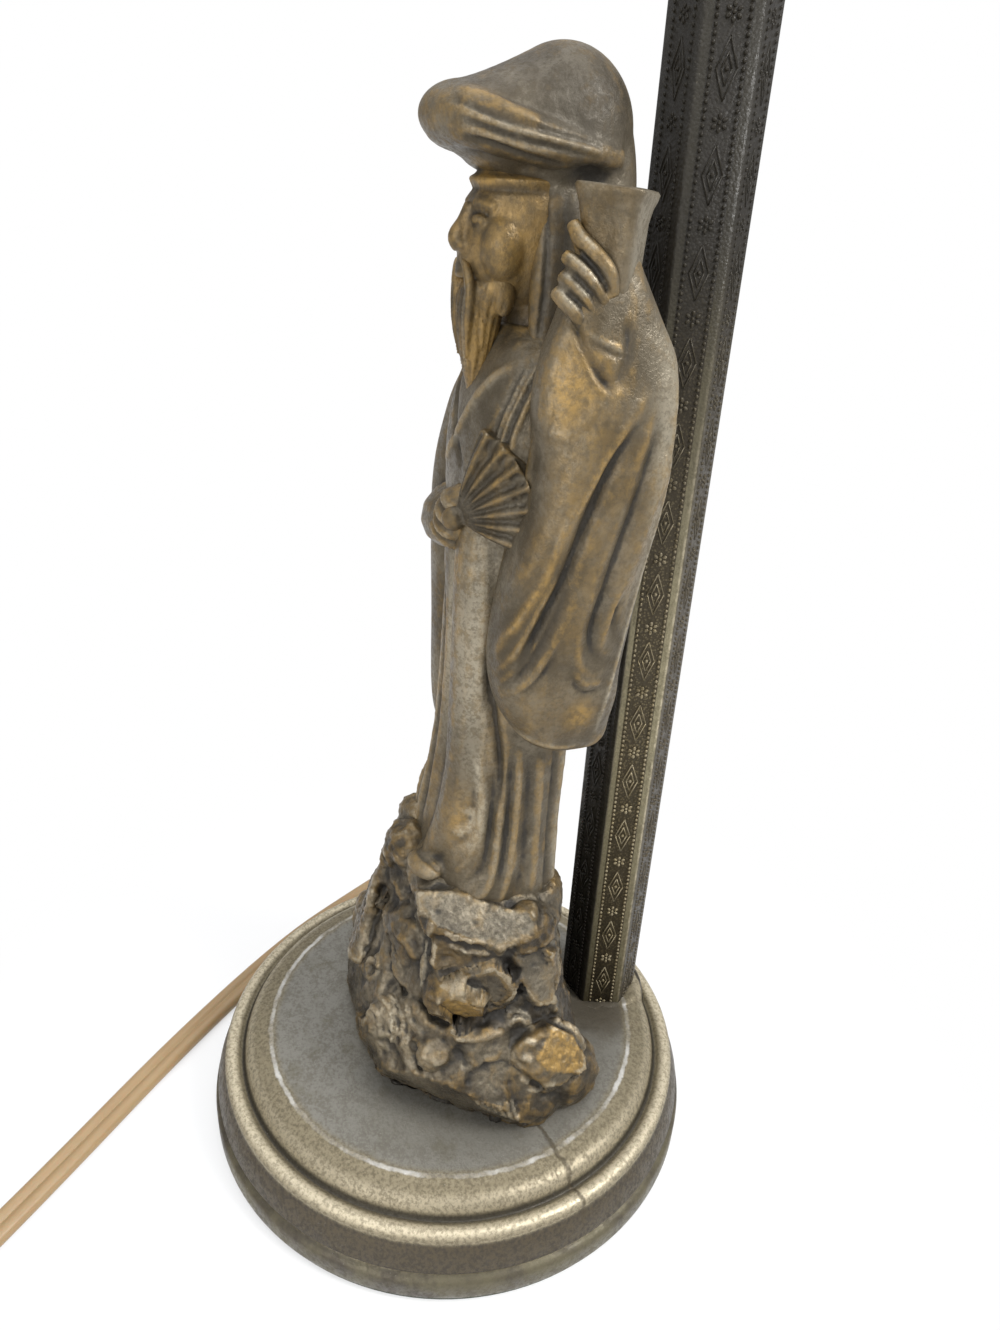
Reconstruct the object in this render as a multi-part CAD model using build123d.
from build123d import *
import math
import os

# Figural table lamp: a robed sage cast in spelter stands on a rock in front of a hexagonal embossed
# brass tube, on a round stepped base. A threaded rod inside the tube clamps base, tube, cap and
# socket together. Millimetres, +Z up. The origin is the centre of the underside of the base.
# The sage faces -Y and the tube stands behind it, on +Y.

# ---------------------------------------------------------------- driving dimensions: base
BASE_R = 66.5            # radius of the foot flange
FELT_T = 1.2             # baize under the foot
FOOT_TOP = 7.6           # top of the foot flange
GROOVE_H = 2.0
BAND_H = 7.6             # near-vertical band
BEAD_H = 1.8
BEAD_INSET = 2.5
OVOLO_INSET = 8.0        # groove between the bead and the ovolo
OVOLO_H = 5.5
PLATEAU_INSET = 15.3
CAST_WALL = 3.0
CUTTER = 1000.0          # side of the blocks that trim the castings

# ---------------------------------------------------------------- driving dimensions: post
POST_INSET = 20.5        # post axis from the rim of the base
TUBE_AF = 19.05          # across flats of the hexagonal tube
TUBE_WALL = 0.9
TUBE_LEN = 305.0
TUBE_TWIST = 10.0        # turn of the hexagon about its own axis, degrees
CORNER_R = 0.7
PAD_R = 13.0             # cast lug that carries the tube over the shoulder of the base
SEAT_H = 4.0             # hexagonal plugs in both ends of the tube
ROD_R = 4.85
ROD_BORE_R = 3.6
NUT_AF = 14.3
NUT_H = 5.0
TOP_NUT_H = 3.2
WASHER_T = 1.6
WASHER_MARGIN = 2.2      # washer wider than the nut
FIT = 0.05               # radial play of a plug in its hole
CLEAR = 0.3              # play between pieces that only pass each other

# ---------------------------------------------------------------- driving dimensions: figure
ROCK_H = 52.5            # rock, from the base to the hem of the robe
ROCK_HALF_X = 43.5
ROCK_FRONT = -27.0
ROCK_BACK = 29.0
ROBE_H = 136.0           # hem to shoulders
ROBE_HALF_X = 22.5
ROBE_HALF_Y = 19.0
ROBE_Y = 8.0
FIGURE_GAP = 5.5         # between the castings' flat back and the corners of the tube
HEAD_RISE = 17.0         # centre of the head above the shoulders
HEAD_Y = 9.0
HEAD_HALF_X = 10.5
HEAD_HALF_Y = 13.0
HEAD_HALF_Z = 17.0
BEARD_HALF_X = 8.6
BEARD_DROP = 33.5        # tip of the beard below the centre of the head
BRIM_RISE = 10.0         # brim of the hat above the centre of the head
HAT_H = 21.0
HAT_HALF_X = 16.0
HAT_HALF_Y = 20.0
HAND_X = 23.0            # raised left hand
HAND_Y = 14.0
HAND_RISE = 6.0
CUP_H = 13.0
CUP_R = 8.0
SLEEVE_HALF_X = 9.0      # hanging sleeve of the raised arm
SLEEVE_HALF_Y = 15.5
ARM_X = -23.0            # lowered right arm
ARM_HALF_X = 8.0
ARM_HALF_Y = 12.5
FIST_DROP = 40.0         # right hand, which holds the fan, below the shoulders
FIST_X = 1.0
FIST_Y = -7.0
FIST_HALF = 6.5
FAN_R = 23.0             # length of the fan's sticks
FAN_STICKS = 7
FAN_SPREAD = 88.0        # degrees
FAN_T = 1.8
SCREW_R = 2.0            # screws that hold the rock from below
SCREW_DEPTH = 12.0
SCREW_SPREAD = 16.0

# ---------------------------------------------------------------- driving dimensions: socket
CAP_PLATE_T = 5.5        # turned brass cap over the tube
CAP_PLATE_R = 13.0
HUB_R = 7.6
HUB_H = 6.0
SHELL_T = 0.6
SHELL_PLAY = 1.65        # air between the screw shell and the liner
SOCKET_CAP_H = 21.0
SKIRT_LAP = 5.0          # overlap of cap and shell
SOCKET_SHELL_H = 44.0
LINER_T = 0.8
BULB_R = 13.25           # inside of the screw shell
SCREW_SHELL_T = 0.5
BULB_DEPTH = 24.0        # length of the screw shell
INSULATOR_H = 16.0       # moulded body that carries the contacts and the switch
CONTACT_R = 4.0
CONTACT_T = 1.4
TERMINAL_R = 1.5
SET_SCREW_R = 1.4
KEY_SHAFT_R = 1.8
KEY_SHAFT_OUT = 6.0      # free length of shaft between shell and knob
KEY_RISE = 8.5           # shaft above the lower edge of the shell
CAM_HALF = 2.2
CAM_LEN = 4.5
KEY_LEN = 14.0
KEY_H = 9.0
KEY_T = 3.2

# ---------------------------------------------------------------- driving dimensions: cord
CORD_W = 7.4             # two conductors side by side
CORD_T = 3.8
CORD_EXIT_ANGLE = 133.0  # where the cord leaves the base, degrees from +X
CORD_EXIT_Z = 7.0
BUSH_LEN = 8.5
BUSH_OUT = 0.7           # collar outside the base
WIRE_R = 1.6             # insulated single conductor inside the lamp
COIL_X = 4.0
COIL_Y = -186.0
COIL_MID_R = 41.0        # middle of the turns
COIL_HALF_TURNS = 11
COIL_START = 42.0        # where the cord reaches the coil, degrees
TURN_GAP = 2.2           # free space between neighbouring turns
LAYER_GAP = 1.3          # free space between the two layers
PLUG_W = 26.0
PLUG_T = 16.0
PLUG_LEN = 30.0
BLADE_W = 6.35
BLADE_T = 1.5
BLADE_OUT = 17.0
BLADE_IN = 10.0
BLADE_PITCH = 12.7

# ---------------------------------------------------------------- derived levels
BEAD_R = BASE_R - BEAD_INSET
OVOLO_FOOT_R = BASE_R - OVOLO_INSET
PLATEAU_R = BASE_R - PLATEAU_INSET
POST_Y = BASE_R - POST_INSET                 # post axis, behind the base centre
FIGURE_BACK = POST_Y - TUBE_AF / math.sqrt(3) - FIGURE_GAP
BAND_BOTTOM = FOOT_TOP + GROOVE_H
BAND_TOP = BAND_BOTTOM + BAND_H
BEAD_TOP = BAND_TOP + BEAD_H
OVOLO_FOOT_Z = BEAD_TOP - 1.0
PLATEAU_Z = OVOLO_FOOT_Z + OVOLO_H           # flat top of the base
CEILING = PLATEAU_Z - 2 * CAST_WALL          # underside of the lug, inside the base

TUBE_BOTTOM = PLATEAU_Z
TUBE_TOP = TUBE_BOTTOM + TUBE_LEN
CAP_TOP = TUBE_TOP + CAP_PLATE_T
SOCKET_BASE = CAP_TOP + TOP_NUT_H
ROD_TOP = SOCKET_BASE + HUB_H + 2.0
NUT_SEAT = CEILING - WASHER_T
ROD_BOTTOM = NUT_SEAT - NUT_H - 1.5
PLUG_AF = TUBE_AF - 2 * TUBE_WALL - 2 * FIT  # hexagonal plugs inside the tube

ROCK_TOP = PLATEAU_Z + ROCK_H
ROBE_TOP = ROCK_TOP + ROBE_H
HEAD_Z = ROBE_TOP + HEAD_RISE
BRIM_Z = HEAD_Z + BRIM_RISE
HAND_Z = ROBE_TOP + HAND_RISE
FIST_Z = ROBE_TOP - FIST_DROP
SCREW_SPOTS = [(-SCREW_SPREAD, 2.0), (SCREW_SPREAD, 2.0)]

SOCKET_R = BULB_R + SCREW_SHELL_T + SHELL_PLAY + LINER_T + SHELL_T
SOCKET_SPLIT = SOCKET_BASE + SOCKET_CAP_H - SKIRT_LAP
SOCKET_TOP = SOCKET_SPLIT + SOCKET_SHELL_H
SCREW_SHELL_BOTTOM = SOCKET_TOP - 3.0 - BULB_DEPTH
INSULATOR_BOTTOM = SCREW_SHELL_BOTTOM - INSULATOR_H
LINER_R = SOCKET_R - SHELL_T - FIT
INSULATOR_R = LINER_R - LINER_T - FIT
KEY_Z = SOCKET_SPLIT + KEY_RISE
TERMINAL_Z = INSULATOR_BOTTOM + INSULATOR_H / 2
KEY_PLANE = Plane(origin=(0, POST_Y, KEY_Z), x_dir=(0, 1, 0), z_dir=(1, 0, 0))

BUSH_NECK_R = CORD_W / 2 + 0.7
CORD_Z = CORD_T / 2 + 0.15                   # cord on the table
COIL_PITCH = CORD_W + TURN_GAP
LAYER_PITCH = CORD_T + LAYER_GAP

LOW = (Align.CENTER, Align.CENTER, Align.MIN)
parts = {}


# ---------------------------------------------------------------- helpers
def place(shape, x=0.0, y=0.0, z=0.0):
    return Pos(x, y, z) * shape


def on_post(shape, z=0.0):
    return place(shape, 0, POST_Y, z)


def disc(radius, height):
    """Cylinder that stands on z = 0."""
    return Cylinder(radius, height, align=LOW)


def tube_of(outer_r, inner_r, height):
    """Round tube that stands on z = 0."""
    return disc(outer_r, height) - disc(inner_r, height)


def hex_prism(across_flats, height, corner_r=0.0):
    """Upright hexagonal prism on z = 0, turned as the tube is."""
    outline = RegularPolygon(across_flats / math.sqrt(3), 6)
    if corner_r:
        outline = fillet(outline.vertices(), corner_r)
    return extrude(Rot(0, 0, TUBE_TWIST) * outline, height)


def ovals(sections):
    """Loft through level ovals, each (z, centre x, centre y, half x, half y)."""
    return loft([Pos(x, y, z) * Ellipse(a, b) for z, x, y, a, b in sections])


def ball(x, y, z, a, b, c, turn=(0, 0, 0)):
    """Ellipsoid with half sizes a, b, c."""
    profile = Plane.XZ * (Circle(1.0) & Pos(0.5, 0) * Rectangle(1.0, 2.0))
    unit = revolve(profile, Axis.Z)
    return Pos(x, y, z) * Rot(*turn) * scale(unit, by=(a, b, c))


def flat_back(shape):
    """Cut a casting off at its flat back."""
    keep = Box(CUTTER, CUTTER, CUTTER, align=(Align.CENTER, Align.MAX, Align.CENTER))
    return shape & Pos(0, FIGURE_BACK, 0) * keep


def largest(shape):
    """The main solid of a cut casting, without chips left by the cut."""
    return max(shape.solids(), key=lambda solid: solid.volume)


# ---------------------------------------------------------------- base
def base_outline():
    """Half section of the casting: foot, groove, band, bead, ovolo, flat top and hollow inside."""
    shoulder_r = PLATEAU_R - CAST_WALL
    step_z = OVOLO_FOOT_Z - CAST_WALL
    with BuildSketch(Plane.XZ) as section:
        with BuildLine():
            foot = Line((BASE_R - CAST_WALL, FELT_T), (BASE_R, FELT_T))
            flange = Line(foot @ 1, (BASE_R, FOOT_TOP - 1.2))
            lip = Line(flange @ 1, (BASE_R - 1.0, FOOT_TOP))
            groove = ThreePointArc(lip @ 1, (BASE_R - 2.2, FOOT_TOP + GROOVE_H / 2),
                                   (BASE_R - 0.8, BAND_BOTTOM))
            band = Line(groove @ 1, (BEAD_R - 0.6, BAND_TOP))
            bead = ThreePointArc(band @ 1, (BEAD_R - 1.4, BEAD_TOP), (OVOLO_FOOT_R + 0.6, BEAD_TOP - 0.4))
            cove = Line(bead @ 1, (OVOLO_FOOT_R, OVOLO_FOOT_Z))
            ovolo = RadiusArc(cove @ 1, (PLATEAU_R + 1.2, PLATEAU_Z - 0.5), -7.0)
            edge = Line(ovolo @ 1, (PLATEAU_R, PLATEAU_Z))
            top = Line(edge @ 1, (0, PLATEAU_Z))
            axis = Line(top @ 1, (0, PLATEAU_Z - CAST_WALL))
            ceiling = Line(axis @ 1, (shoulder_r - 1, PLATEAU_Z - CAST_WALL))
            step = Line(ceiling @ 1, (OVOLO_FOOT_R - CAST_WALL, step_z))
            inner = Line(step @ 1, (BEAD_R - CAST_WALL, step_z))
            Line(inner @ 1, foot @ 0)
        make_face()
    return section.sketch


def exit_frame(radius, z):
    """Plane whose Z axis points straight out of the base at the cord's exit."""
    angle = math.radians(CORD_EXIT_ANGLE)
    outward = Vector(math.cos(angle), math.sin(angle), 0)
    return Plane(origin=outward * radius + Vector(0, 0, z), x_dir=Vector(0, 0, 1), z_dir=outward)


def make_base():
    """Hollow casting with the lug for the tube, a spot face for the nut, and its bores."""
    washer_r = NUT_AF / 2 + WASHER_MARGIN
    casting = revolve(base_outline(), Axis.Z)
    casting += on_post(Cone(PAD_R + 1.6, PAD_R, OVOLO_H, align=LOW), OVOLO_FOOT_Z)
    casting += on_post(disc(PAD_R - 1.0, PLATEAU_Z - CEILING), CEILING)
    casting -= on_post(disc(washer_r + 2 * CLEAR, CEILING - FELT_T), FELT_T)
    casting -= on_post(disc(ROD_R + FIT, PLATEAU_Z), FELT_T)
    for x, y in SCREW_SPOTS:
        casting -= place(disc(SCREW_R + FIT, CAST_WALL + 2), x, y, PLATEAU_Z - CAST_WALL - 1)
    return casting - exit_frame(BASE_R - 9, CORD_EXIT_Z) * disc(BUSH_NECK_R + FIT, 14)


def make_bushing():
    """Grommet in the wall of the base: collar outside, neck in the hole, slot for the cord."""
    collar_depth = 2.5
    neck = exit_frame(BASE_R - 1.0 - BUSH_LEN + 1.0, CORD_EXIT_Z) * disc(BUSH_NECK_R, BUSH_LEN - 1.0)
    collar = exit_frame(BASE_R - collar_depth, CORD_EXIT_Z) * Cone(
        BUSH_NECK_R + 1.2, BUSH_NECK_R + 0.4, collar_depth + BUSH_OUT, align=LOW)
    slot = Rot(0, 0, 90) * SlotOverall(CORD_W + 2 * FIT, CORD_T + 2 * FIT)
    opening = exit_frame(BASE_R - 16, CORD_EXIT_Z) * extrude(slot, 24)
    wall = revolve(base_outline(), Axis.Z)
    return (neck + (collar - wall)) - opening


parts["base_casting"] = make_base()
parts["base_felt"] = disc(BASE_R - 0.8, FELT_T)
parts["cord_bushing"] = make_bushing()


# ---------------------------------------------------------------- post
def make_tube():
    """Hexagonal tube with rounded corners."""
    bore_af = TUBE_AF - 2 * TUBE_WALL
    return hex_prism(TUBE_AF, TUBE_LEN, CORNER_R) - hex_prism(bore_af, TUBE_LEN, CORNER_R / 2)


def make_plug_ring():
    """Hexagonal ring that centres the tube on the rod."""
    return hex_prism(PLUG_AF, SEAT_H, CORNER_R / 2) - disc(ROD_R + FIT, SEAT_H)


def make_tube_cap():
    """Turned cap over the tube: spigot inside the tube, ogee rim above it."""
    bore = ROD_R + FIT
    with BuildSketch(Plane.XZ) as section:
        with BuildLine():
            seat = Line((bore, 0), (CAP_PLATE_R, 0))
            rim = ThreePointArc(seat @ 1, (CAP_PLATE_R + 0.7, 1.0), (CAP_PLATE_R, 2.0))
            neck = RadiusArc(rim @ 1, (NUT_AF / 2 + 1.6, CAP_PLATE_T), 6.0)
            top = Line(neck @ 1, (bore, CAP_PLATE_T))
            Line(top @ 1, seat @ 0)
        make_face()
    return on_post(revolve(section.sketch, Axis.Z), TUBE_TOP) + on_post(make_plug_ring(), TUBE_TOP - SEAT_H)


def hex_nut(across_flats, height):
    """Chamfered hexagonal nut on the rod."""
    blank = extrude(RegularPolygon(across_flats / math.sqrt(3), 6), height)
    crown = Cone(across_flats / 2 + height * 1.9, across_flats / 2 - 0.2, height, align=LOW)
    return (blank & crown) - disc(ROD_R + FIT, height)


parts["hex_tube"] = on_post(make_tube(), TUBE_BOTTOM)
parts["tube_seat"] = on_post(make_plug_ring(), TUBE_BOTTOM)
parts["tube_cap"] = make_tube_cap()
parts["threaded_rod"] = on_post(tube_of(ROD_R, ROD_BORE_R, ROD_TOP - ROD_BOTTOM), ROD_BOTTOM)
parts["base_washer"] = on_post(tube_of(NUT_AF / 2 + WASHER_MARGIN, ROD_R + FIT, WASHER_T), NUT_SEAT)
parts["base_nut"] = on_post(hex_nut(NUT_AF, NUT_H), NUT_SEAT - NUT_H)
parts["top_nut"] = on_post(hex_nut(NUT_AF, TOP_NUT_H), CAP_TOP)


# ---------------------------------------------------------------- rock and figure
def on_rock(part):
    """Level at a fraction of the rock's height."""
    return PLATEAU_Z + part * ROCK_H


def on_robe(part):
    """Level at a fraction of the height from hem to shoulders."""
    return ROCK_TOP + part * ROBE_H


def make_rock():
    """Craggy mound: a stack of ovals with boulders, cut flat below, above and behind."""
    mid_y = (ROCK_FRONT + ROCK_BACK) / 2
    half_y = (ROCK_BACK - ROCK_FRONT) / 2
    mound = ovals([
        (on_rock(0.00), 0, mid_y, ROCK_HALF_X - 2, half_y - 1),
        (on_rock(0.14), 0, mid_y, ROCK_HALF_X, half_y),
        (on_rock(0.42), -1, mid_y + 1, 0.86 * ROCK_HALF_X, 0.92 * half_y),
        (on_rock(0.72), -2, mid_y + 3, 0.72 * ROCK_HALF_X, 0.78 * half_y),
        (on_rock(1.00), 0, ROBE_Y, ROBE_HALF_X + 2.5, ROBE_HALF_Y + 1),
    ])
    boulders = [
        (-29, -3, 0.80, 9, 9, 15, (0, 14, 0)),
        (-36, 2, 0.38, 8, 12, 13, (0, 20, 0)),
        (22, -20, 0.28, 12, 8, 11, (0, 0, 25)),
        (38, 12, 0.24, 7, 12, 10, (0, 0, -10)),
        (2, -22, 0.45, 13, 6, 12, (0, 0, 0)),
    ]
    for x, y, level, a, b, c, turn in boulders:
        mound += ball(x, y, on_rock(level), a, b, c, turn)
    slab = Box(CUTTER, CUTTER, ROCK_H, align=LOW)
    mound &= place(slab, z=PLATEAU_Z)
    for x, y in SCREW_SPOTS:
        mound -= place(disc(SCREW_R + FIT, SCREW_DEPTH), x, y, PLATEAU_Z)
    return largest(flat_back(mound))


def make_rock_screws():
    """Pan-head screws from inside the base into the rock, each with a driver slot."""
    head_h = 2.4
    under = PLATEAU_Z - CAST_WALL
    screws = []
    for x, y in SCREW_SPOTS:
        shank = place(disc(SCREW_R, CAST_WALL + SCREW_DEPTH - 1), x, y, under)
        head = place(disc(2 * SCREW_R, head_h), x, y, under - head_h)
        slot = place(Box(5 * SCREW_R, 0.9, 1.1, align=LOW), x, y, under - head_h)
        screws.append(shank + (head - slot))
    return Compound(children=screws)


def make_robe():
    """Body of the sage: hem, waist, chest and sloping shoulders."""
    a = ROBE_HALF_X
    b = ROBE_HALF_Y
    return flat_back(ovals([
        (on_robe(0.00), 0, ROBE_Y, a, b),
        (on_robe(0.08), 0, ROBE_Y, 0.93 * a, 0.95 * b),
        (on_robe(0.25), 0.5, ROBE_Y + 1.5, 0.82 * a, 0.87 * b),
        (on_robe(0.50), 0.5, ROBE_Y + 2.5, 0.82 * a, 0.87 * b),
        (on_robe(0.72), 0, ROBE_Y + 3.5, 0.89 * a, 0.92 * b),
        (on_robe(0.88), 0, ROBE_Y + 5.0, 0.89 * a, 0.84 * b),
        (on_robe(1.00), 0, ROBE_Y + 4.5, 0.49 * a, 0.50 * b),
    ]))


def make_left_arm():
    """Raised arm: a wide sleeve that hangs from the wrist, with the hand above it."""
    a = SLEEVE_HALF_X
    b = SLEEVE_HALF_Y
    arm = ovals([
        (on_robe(0.34), HAND_X - 0.50 * a, HAND_Y, 0.44 * a, 0.52 * b),
        (on_robe(0.40), HAND_X - 0.33 * a, HAND_Y - 0.03 * b, 0.67 * a, 0.71 * b),
        (on_robe(0.56), HAND_X - 0.06 * a, HAND_Y - 0.03 * b, 0.89 * a, 0.94 * b),
        (on_robe(0.75), HAND_X + 0.17 * a, HAND_Y + 0.13 * b, a, b),
        (on_robe(0.90), HAND_X + 0.22 * a, HAND_Y + 0.23 * b, 0.94 * a, 0.90 * b),
        (on_robe(0.99), HAND_X + 0.11 * a, HAND_Y + 0.23 * b, 0.67 * a, 0.42 * b),
    ])
    arm += ball(HAND_X, HAND_Y + 0.2 * b, HAND_Z - 0.2 * a, 0.5 * a, 0.35 * b, a, (-20, 0, 0))
    for finger in range(4):
        level = HAND_Z + (0.72 - 0.4 * finger) * a
        arm += ball(HAND_X + 0.33 * a, HAND_Y - 0.23 * b, level, 0.22 * a, 0.39 * b, 0.21 * a, (35, 0, 0))
    return flat_back(arm)


def make_right_arm():
    """Lowered arm: sleeve down the far side, forearm across the waist and the fist in front."""
    a = ARM_HALF_X
    b = ARM_HALF_Y
    arm = ovals([
        (on_robe(0.22), ARM_X + 0.50 * a, ROBE_Y, 0.50 * a, 0.56 * b),
        (on_robe(0.29), ARM_X + 0.31 * a, ROBE_Y + 0.04 * b, 0.81 * a, 0.72 * b),
        (on_robe(0.47), ARM_X + 0.06 * a, ROBE_Y + 0.12 * b, 0.94 * a, 0.88 * b),
        (on_robe(0.71), ARM_X, ROBE_Y + 0.20 * b, a, b),
        (on_robe(0.88), ARM_X + 0.38 * a, ROBE_Y + 0.44 * b, 0.94 * a, 0.88 * b),
        (on_robe(0.96), ARM_X + a, ROBE_Y + 0.48 * b, 0.50 * a, 0.48 * b),
    ])
    half = FIST_HALF
    arm += ball(FIST_X - 1.5 * half, FIST_Y + 0.5 * half, FIST_Z - 0.3 * half, 2 * half, 1.1 * half, 1.4 * half)
    arm += ball(FIST_X, FIST_Y, FIST_Z, half, 0.8 * half, 1.2 * half)
    return flat_back(arm)


def make_head():
    """Skull and neck with a plain brow and nose."""
    face_y = HEAD_Y - HEAD_HALF_Y
    head = ball(0, HEAD_Y, HEAD_Z + 1, HEAD_HALF_X, HEAD_HALF_Y, HEAD_HALF_Z)
    head += place(disc(0.7 * HEAD_HALF_X, HEAD_RISE), 0, HEAD_Y + 3, ROBE_TOP - 4)
    head += ball(0, face_y + 0.5, HEAD_Z + 0.5, 1.9, 2.6, 4.2, (-14, 0, 0))
    head += ball(0, face_y + 3.0, HEAD_Z + 6.0, 7.0, 2.8, 1.8)
    return head


def make_beard():
    """Long beard that narrows to a point on the chest."""
    a = BEARD_HALF_X
    front = HEAD_Y - HEAD_HALF_Y
    return ovals([
        (HEAD_Z - 1.00 * BEARD_DROP, 0, front + 0.52 * a, 0.16 * a, 0.16 * a),
        (HEAD_Z - 0.87 * BEARD_DROP, 0, front + 0.52 * a, 0.40 * a, 0.37 * a),
        (HEAD_Z - 0.57 * BEARD_DROP, 0, front + 0.47 * a, 0.70 * a, 0.53 * a),
        (HEAD_Z - 0.24 * BEARD_DROP, 0, front + 0.64 * a, a, 0.77 * a),
        (HEAD_Z - 0.15 * BEARD_DROP, 0, front + 0.76 * a, 0.93 * a, 0.70 * a),
    ])


def make_hat():
    """Soft cap: domed crown, rolled front, and a drape down the back of the head."""
    a = HAT_HALF_X
    b = HAT_HALF_Y
    h = HAT_H
    crown = ball(0, HEAD_Y + 0.08 * b, BRIM_Z + 0.05 * h, a, b, 0.95 * h)
    crown &= place(Box(CUTTER, CUTTER, CUTTER, align=LOW), z=BRIM_Z)
    roll = ball(0, HEAD_Y - 0.68 * b, BRIM_Z + 0.38 * h, 0.81 * a, 0.42 * b, 0.31 * h, (12, 0, 0))
    drape = ball(0, HEAD_Y + 0.5 * b, BRIM_Z - 0.43 * h, 0.81 * a, 0.55 * b, 1.14 * h)
    return flat_back(crown + roll + drape)


def make_cup():
    """Flared vessel in the raised hand."""
    with BuildSketch(Plane.XZ) as section:
        with BuildLine():
            foot = Line((0, 0), (0.4 * CUP_R, 0))
            side = Spline(foot @ 1, (0.55 * CUP_R, 0.45 * CUP_H), (CUP_R, CUP_H))
            lip = Line(side @ 1, (CUP_R - 1.0, CUP_H))
            inside = Spline(lip @ 1, (0.42 * CUP_R, 0.5 * CUP_H), (0, 0.36 * CUP_H))
            Line(inside @ 1, foot @ 0)
        make_face()
    vessel = revolve(section.sketch, Axis.Z)
    return Pos(HAND_X + 2.5, HAND_Y + 3, HAND_Z + 6) * Rot(0, 14, 0) * vessel


def make_fan():
    """Half-open folding fan: pleats of alternating thickness that spread from a rivet in the fist."""
    plane = Plane(origin=(7.0, -10.0, FIST_Z), x_dir=(0.77, 0.64, 0), z_dir=(0.64, -0.77, 0))
    step = math.radians(FAN_SPREAD / FAN_STICKS)
    start = math.radians(-10)
    fan = disc(2.6, FAN_T + 1.4)
    for stick in range(FAN_STICKS):
        a0 = start + stick * step
        a1 = a0 + step
        mid = (a0 + a1) / 2
        with BuildSketch() as leaf:
            with BuildLine():
                edge = Line((0, 0), (FAN_R * math.cos(a0), FAN_R * math.sin(a0)))
                tip = ThreePointArc(edge @ 1, (1.06 * FAN_R * math.cos(mid), 1.06 * FAN_R * math.sin(mid)),
                                    (FAN_R * math.cos(a1), FAN_R * math.sin(a1)))
                Line(tip @ 1, edge @ 0)
            make_face()
        fan += extrude(leaf.sketch, FAN_T + 0.8 * (stick % 2))
    return plane * fan


robe = make_robe()
left_arm = largest(make_left_arm() - robe)
right_arm = largest(make_right_arm() - robe)
head = largest(make_head() - robe)
beard = largest(make_beard() - robe - head)
hat = largest(make_hat() - robe - head - beard - left_arm)
cup = largest(make_cup() - left_arm - hat - head)
fan = largest(make_fan() - robe - right_arm - left_arm)
parts["rock_mound"] = make_rock()
parts["rock_screws"] = make_rock_screws()
parts["figure_robe"] = robe
parts["figure_left_arm"] = left_arm
parts["figure_right_arm"] = right_arm
parts["figure_head"] = head
parts["figure_beard"] = beard
parts["figure_hat"] = hat
parts["held_cup"] = cup
parts["folding_fan"] = fan


# ---------------------------------------------------------------- socket
def make_socket_cap():
    """Thin spun cap: hub on the rod, dome, and a skirt that takes the shell."""
    skirt_r = SOCKET_R + FIT
    dome_top = SOCKET_CAP_H - SKIRT_LAP - 1.5
    bore = ROD_R + FIT
    with BuildSketch(Plane.XZ) as section:
        with BuildLine():
            hub = Line((bore, 0), (HUB_R, 0))
            side = Line(hub @ 1, (HUB_R, HUB_H))
            dome = RadiusArc(side @ 1, (skirt_r + SHELL_T, dome_top), -12.0)
            skirt = Line(dome @ 1, (skirt_r + SHELL_T, SOCKET_CAP_H))
            edge = Line(skirt @ 1, (skirt_r, SOCKET_CAP_H))
            inner = Line(edge @ 1, (skirt_r, dome_top + 0.2))
            under = RadiusArc(inner @ 1, (HUB_R - 0.2, HUB_H + 1.4), 12.0)
            seat = Line(under @ 1, (bore, HUB_H + 1.4))
            Line(seat @ 1, hub @ 0)
        make_face()
    cap = on_post(revolve(section.sketch, Axis.Z), SOCKET_BASE)
    return cap - set_screw_frame() * disc(SET_SCREW_R + FIT, HUB_R)


def set_screw_frame():
    """Plane at the rod's surface, facing the front, for the screw that locks the hub."""
    spot = (0, POST_Y - ROD_R, SOCKET_BASE + HUB_H / 2)
    return Plane(origin=spot, x_dir=(1, 0, 0), z_dir=(0, -1, 0))


def make_socket_shell():
    """Drawn shell with a rolled mouth and a hole for the switch shaft."""
    bead_r = 0.9
    with BuildSketch(Plane.XZ) as section:
        with BuildLine():
            bottom = Line((SOCKET_R - SHELL_T, 0), (SOCKET_R, 0))
            wall = Line(bottom @ 1, (SOCKET_R, SOCKET_SHELL_H - 2 * bead_r))
            bead = ThreePointArc(wall @ 1, (SOCKET_R + 0.8, SOCKET_SHELL_H - bead_r),
                                 (SOCKET_R, SOCKET_SHELL_H))
            lip = Line(bead @ 1, (SOCKET_R - SHELL_T, SOCKET_SHELL_H))
            Line(lip @ 1, bottom @ 0)
        make_face()
    shell = on_post(revolve(section.sketch, Axis.Z), SOCKET_SPLIT)
    return shell - KEY_PLANE * disc(KEY_SHAFT_R + CLEAR, 2 * SOCKET_R)


def make_liner():
    """Insulating sleeve inside the shell."""
    sleeve = on_post(tube_of(LINER_R, LINER_R - LINER_T, SOCKET_SHELL_H - 2), SOCKET_SPLIT + 1)
    return sleeve - KEY_PLANE * disc(KEY_SHAFT_R + CLEAR, 2 * SOCKET_R)


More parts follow.
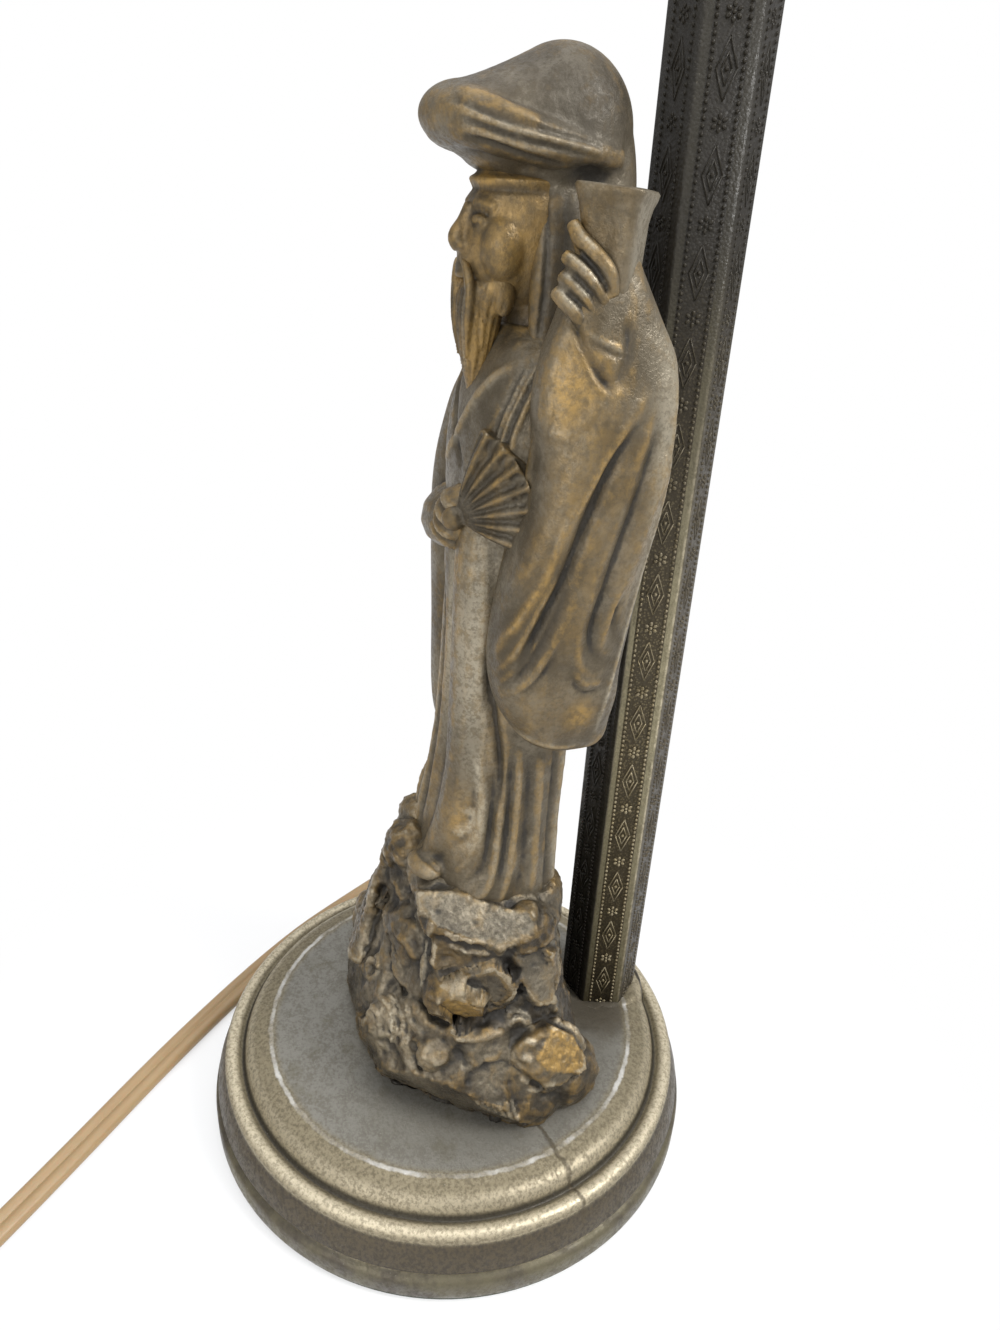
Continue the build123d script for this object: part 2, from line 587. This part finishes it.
def make_insulator():
    """Moulded body: bore for the shaft, chamber for the cam, pockets for contact, screws and wires."""
    body = on_post(disc(INSULATOR_R, INSULATOR_H), INSULATOR_BOTTOM)
    body -= KEY_PLANE * disc(KEY_SHAFT_R + FIT, 2 * SOCKET_R)
    body -= KEY_PLANE * Pos(0, 0, -1.0) * disc(CAM_HALF * math.sqrt(2) + CLEAR, CAM_LEN + 2.0)
    body -= on_post(disc(CONTACT_R + FIT, CONTACT_T), SCREW_SHELL_BOTTOM - CONTACT_T)
    for side in (-1, 1):
        body -= place(Box(9, 4, 9), 0, POST_Y + side * INSULATOR_R, TERMINAL_Z)
        frame = terminal_frame(side)
        body -= frame * Pos(0, 0, -5) * disc(TERMINAL_R + FIT, 5)
        body -= place(disc(WIRE_R + FIT, 4), 0, POST_Y + side * 6, INSULATOR_BOTTOM)
    return body


def terminal_frame(side):
    """Plane on the floor of a terminal pocket, facing outward."""
    spot = (0, POST_Y + side * (INSULATOR_R - 2), TERMINAL_Z)
    return Plane(origin=spot, x_dir=(1, 0, 0), z_dir=(0, side, 0))


def make_terminals():
    """Brass screws in the pockets of the insulator, for the two conductors."""
    screws = []
    for side in (-1, 1):
        head = disc(2.8, 1.4) - Pos(0, 0, 1.4) * Box(5.8, 0.7, 1.2)
        screws.append(terminal_frame(side) * (head + Pos(0, 0, -5) * disc(TERMINAL_R, 5)))
    return Compound(children=screws)


def make_key_shaft():
    """Switch shaft along +X with its square cam at the inner end."""
    cam = extrude(Rectangle(2 * CAM_HALF, 2 * CAM_HALF), CAM_LEN)
    return KEY_PLANE * (cam + disc(KEY_SHAFT_R, SOCKET_R + KEY_SHAFT_OUT + 3.0))


def make_key_knob():
    """Flat oval turn key on the end of the shaft."""
    paddle = extrude(Plane.XZ * Ellipse(KEY_LEN / 2, KEY_H / 2), KEY_T / 2, both=True)
    paddle = fillet(paddle.edges(), 0.9)
    collar = Pos(0, 0, -KEY_H / 2 - 0.5) * disc(KEY_T * 0.85, 4.0)
    knob = Pos(0, 0, SOCKET_R + KEY_SHAFT_OUT + KEY_H / 2) * (paddle + collar)
    return KEY_PLANE * (knob - disc(KEY_SHAFT_R, SOCKET_R + KEY_SHAFT_OUT + 3.0))


parts["socket_cap"] = make_socket_cap()
parts["socket_set_screw"] = set_screw_frame() * disc(SET_SCREW_R, 3.6)
parts["socket_shell"] = make_socket_shell()
parts["socket_liner"] = make_liner()
parts["socket_insulator"] = make_insulator()
parts["screw_shell"] = on_post(tube_of(BULB_R + SCREW_SHELL_T, BULB_R, BULB_DEPTH), SCREW_SHELL_BOTTOM)
parts["centre_contact"] = on_post(disc(CONTACT_R, CONTACT_T), SCREW_SHELL_BOTTOM - CONTACT_T)
parts["terminal_screws"] = make_terminals()
parts["key_shaft"] = make_key_shaft()
parts["key_knob"] = make_key_knob()


# ---------------------------------------------------------------- cord
def cord_section(start, heading):
    """Flat two-conductor section, square to the heading and level across."""
    across = Vector(0, 0, 1).cross(heading)
    return Plane(origin=start, x_dir=across, z_dir=heading) * SlotOverall(CORD_W, CORD_T)


def laid_path(name, points):
    """Straight runs joined by arcs that use up to 0.45 of the shorter run; prints their radii."""
    radii = []
    for before, corner, after in zip(points, points[1:], points[2:]):
        turn = math.radians((corner - before).get_angle(after - corner))
        shorter = min((corner - before).length, (after - corner).length)
        radii.append(0.45 * shorter / math.tan(turn / 2))
    path = FilletPolyline(*points, radius=radii)
    print(name, "radii", [round(r, 1) for r in radii], "length", round(path.length, 1))
    return path


def laid_cord(name, points):
    """Flat cord along a laid path; prints its volume against section times length."""
    path = laid_path(name, points)
    section = cord_section(points[0], (points[1] - points[0]).normalized())
    solid = sweep(section, path=path)
    print(name, "volume", round(solid.volume), "of", round(section.area * path.length))
    return solid, path.length


def biarc(start, start_dir, end, end_dir):
    """Two arcs that leave start and reach end along the given directions."""
    chord = end - start
    both = start_dir + end_dir
    a = 2 * (start_dir.dot(end_dir) - 1)
    b = -2 * chord.dot(both)
    c = chord.dot(chord)
    reach = (-b - math.sqrt(b * b - 4 * a * c)) / (2 * a)
    first = start + start_dir * reach
    last = end - end_dir * reach
    joint = (first + last) * 0.5
    return [TangentArc(start, joint, tangent=start_dir), TangentArc(joint, end, tangent=last - first)]


def coil_stations():
    """Ends of the half turns: in along the table, up one layer, and out again on top."""
    inner_turns = COIL_HALF_TURNS // 2
    outer_r = COIL_MID_R + inner_turns * COIL_PITCH / 4
    stations = []
    for k in range(COIL_HALF_TURNS + 1):
        steps_in = min(k, inner_turns) - max(0, k - inner_turns - 1)
        radius = outer_r - steps_in * COIL_PITCH / 2
        height = CORD_Z + (LAYER_PITCH if k > inner_turns else 0)
        angle = math.radians(COIL_START - 180 * k)
        radial = Vector(math.cos(angle), math.sin(angle), 0)
        heading = Vector(radial.Y, -radial.X, 0)
        stations.append((Vector(COIL_X, COIL_Y, height) + radial * radius, heading))
    return stations


def own_gap(path):
    """Least free space between one turn and another, measured on points across the cord."""
    count = 800
    core = (CORD_W - CORD_T) / 2
    rows = []
    for i in range(count):
        spot = path.position_at(i / (count - 1))
        across = Vector(0, 0, 1).cross(path.tangent_at(i / (count - 1))).normalized()
        rows.append([tuple(spot + across * (core * f)) for f in (-1, 0, 1)])
    skip = int(count * 3 * CORD_W / path.length)
    least = min(math.dist(p, q) for i in range(count) for j in range(i + skip, count)
                for p in rows[i] for q in rows[j])
    return least - CORD_T


def make_coil(stations):
    """Spare cord as an unbroken flat coil with a straight lead at each end."""
    first, first_dir = stations[0]
    last, last_dir = stations[-1]
    edges = [Line(first - first_dir * CORD_W, first)]
    for (here, here_dir), (there, there_dir) in zip(stations, stations[1:]):
        edges += biarc(here, here_dir, there, there_dir)
    edges.append(Line(last, last + last_dir * CORD_W))
    path = Wire([edge.edge() for edge in edges])
    section = cord_section(first - first_dir * CORD_W, first_dir)
    solid = sweep(section, path=path)
    print("cord coil length", round(path.length, 1), "volume", round(solid.volume), "of",
          round(section.area * path.length), "least gap", round(own_gap(path), 2))
    return solid, path.length


STATIONS = coil_stations()
coil_in, coil_in_dir = STATIONS[0]
coil_out, coil_out_dir = STATIONS[-1]
run_end = coil_in - coil_in_dir * CORD_W
tail_start = coil_out + coil_out_dir * CORD_W
cord_start = exit_frame(BASE_R - 2.0 - BUSH_LEN, CORD_EXIT_Z).origin
exit_dir = exit_frame(1, 0).z_dir
RUN_POINTS = [
    cord_start,
    cord_start + exit_dir * 20.5,
    Vector(-74.0, 58.5, CORD_Z),
    Vector(-91.0, 47.0, CORD_Z),
    Vector(-97.0, 27.0, CORD_Z),
    Vector(-91.0, 9.0, CORD_Z),
    Vector(-79.5, -11.5, CORD_Z),
    Vector(-63.0, -38.5, CORD_Z),
    Vector(-31.0, -74.5, CORD_Z),
    Vector(3.0, -107.5, CORD_Z),
    run_end - coil_in_dir * 22.0,
    run_end,
]
TAIL_POINTS = [
    tail_start,
    tail_start + coil_out_dir * 20.0,
    Vector(-59.3, -190.5, PLUG_T / 2 - 0.4),
    Vector(-61.8, -180.8, PLUG_T / 2 + 0.1),
]
run, run_length = laid_cord("cord run", RUN_POINTS)
tail, tail_length = laid_cord("cord tail", TAIL_POINTS)
coil, coil_length = make_coil(STATIONS)
print("whole cord", round(run_length + coil_length + tail_length))


def make_wires():
    """Two single conductors: from the cord, under the rod, up its bore and into the insulator."""
    half = (CORD_W - CORD_T) / 2
    across = exit_dir.cross(Vector(0, 0, 1))
    below = FELT_T + WIRE_R + 0.6
    wires = []
    for side in (-1, 1):
        points = [
            cord_start + across * (half * side),
            cord_start + across * (half * side) - exit_dir * 14.0,
            Vector(-12.0 - 1.1 * side, 36.0 + 1.4 * side, below),
            Vector(0, POST_Y + 1.65 * side, below),
            Vector(0, POST_Y + 1.65 * side, ROD_TOP + 1.0),
            Vector(0, POST_Y + 6.0 * side, INSULATOR_BOTTOM - 1.5),
            Vector(0, POST_Y + 6.0 * side, INSULATOR_BOTTOM + 3.0),
        ]
        path = laid_path("wire", points)
        section = Plane(origin=points[0], z_dir=(points[1] - points[0])) * Circle(WIRE_R)
        wires.append(sweep(section, path=path))
    return Compound(children=wires)


def plug_frame():
    """Plane at the end of the tail whose Z axis runs on along the cord."""
    heading = (TAIL_POINTS[-1] - TAIL_POINTS[-2]).normalized()
    return Plane(origin=TAIL_POINTS[-1], x_dir=Vector(0, 0, 1).cross(heading), z_dir=heading)


def blade_boxes():
    """Two parallel blades through the face of the plug."""
    length = BLADE_IN + BLADE_OUT
    blade = fillet(Box(BLADE_T, BLADE_W, length, align=LOW).edges().filter_by(Axis.X).group_by(Axis.Z)[-1], 1.5)
    return [plug_frame() * Pos(side * BLADE_PITCH / 2, 0, PLUG_LEN - BLADE_IN) * blade for side in (-1, 1)]


def make_plug():
    """Moulded grip that widens from the cord to the face, cut for the blades."""
    sections = [
        (0.00, CORD_W + 3.0, CORD_T + 3.0),
        (0.30, 0.55 * PLUG_W, 0.60 * PLUG_T),
        (0.65, 0.95 * PLUG_W, 0.96 * PLUG_T),
        (1.00, PLUG_W, PLUG_T),
    ]
    grip = loft([Pos(0, 0, part * PLUG_LEN) * SlotOverall(wide, thick) for part, wide, thick in sections])
    grip = plug_frame() * grip
    for blade in blade_boxes():
        grip -= blade
    return grip


parts["cord_run"] = run
parts["cord_coil"] = coil
parts["cord_tail"] = tail
parts["inner_wires"] = make_wires()
parts["plug_body"] = make_plug()
parts["plug_blades"] = Compound(children=blade_boxes())

os.makedirs("parts", exist_ok=True)
for name, shape in parts.items():
    export_step(shape, f"parts/{name}.step")
    print(name, "volume", round(shape.volume, 1), "solids", len(shape.solids()), "valid", shape.is_valid)
